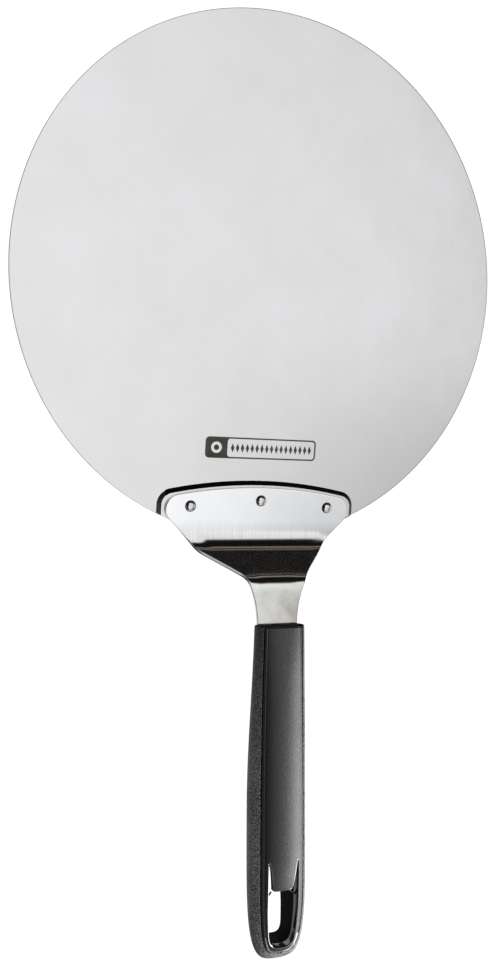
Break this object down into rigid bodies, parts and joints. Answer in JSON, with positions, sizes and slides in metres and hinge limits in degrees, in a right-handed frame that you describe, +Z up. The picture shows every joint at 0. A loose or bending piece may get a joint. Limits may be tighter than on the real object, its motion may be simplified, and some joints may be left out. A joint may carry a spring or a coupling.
{
  "type": "pizza lifter",
  "caption": "Round stainless pizza lifter: flat disc blade, riveted cranked bracket and raised black grip handle with a hang hole.",
  "frame": {"origin": "centre of the blade's underside", "axes": "+X across the blade, +Y towards the blade's tip with the handle leaving along -Y, +Z up, out of the face that carries the food"},
  "size_m": [0.28, 0.4886, 0.07],
  "materials": {
    "brushed_sheet": "fine straight brushing along the blade",
    "bracket_sheet": "satin, brighter than the blade",
    "rivet_steel": "polished domes",
    "core_plastic": "plain moulded",
    "soft_grip": "matt, finely grained",
    "gloss_panel": "smooth semi-gloss"
  },
  "bodies": {
    "root": {"blade": "brushed_sheet", "bracket": "bracket_sheet", "rivet_left": "rivet_steel", "rivet_middle": "rivet_steel", "rivet_right": "rivet_steel", "handle_core": "core_plastic", "handle_grip": "soft_grip", "handle_panel": "gloss_panel"}
  },
  "joints": []
}
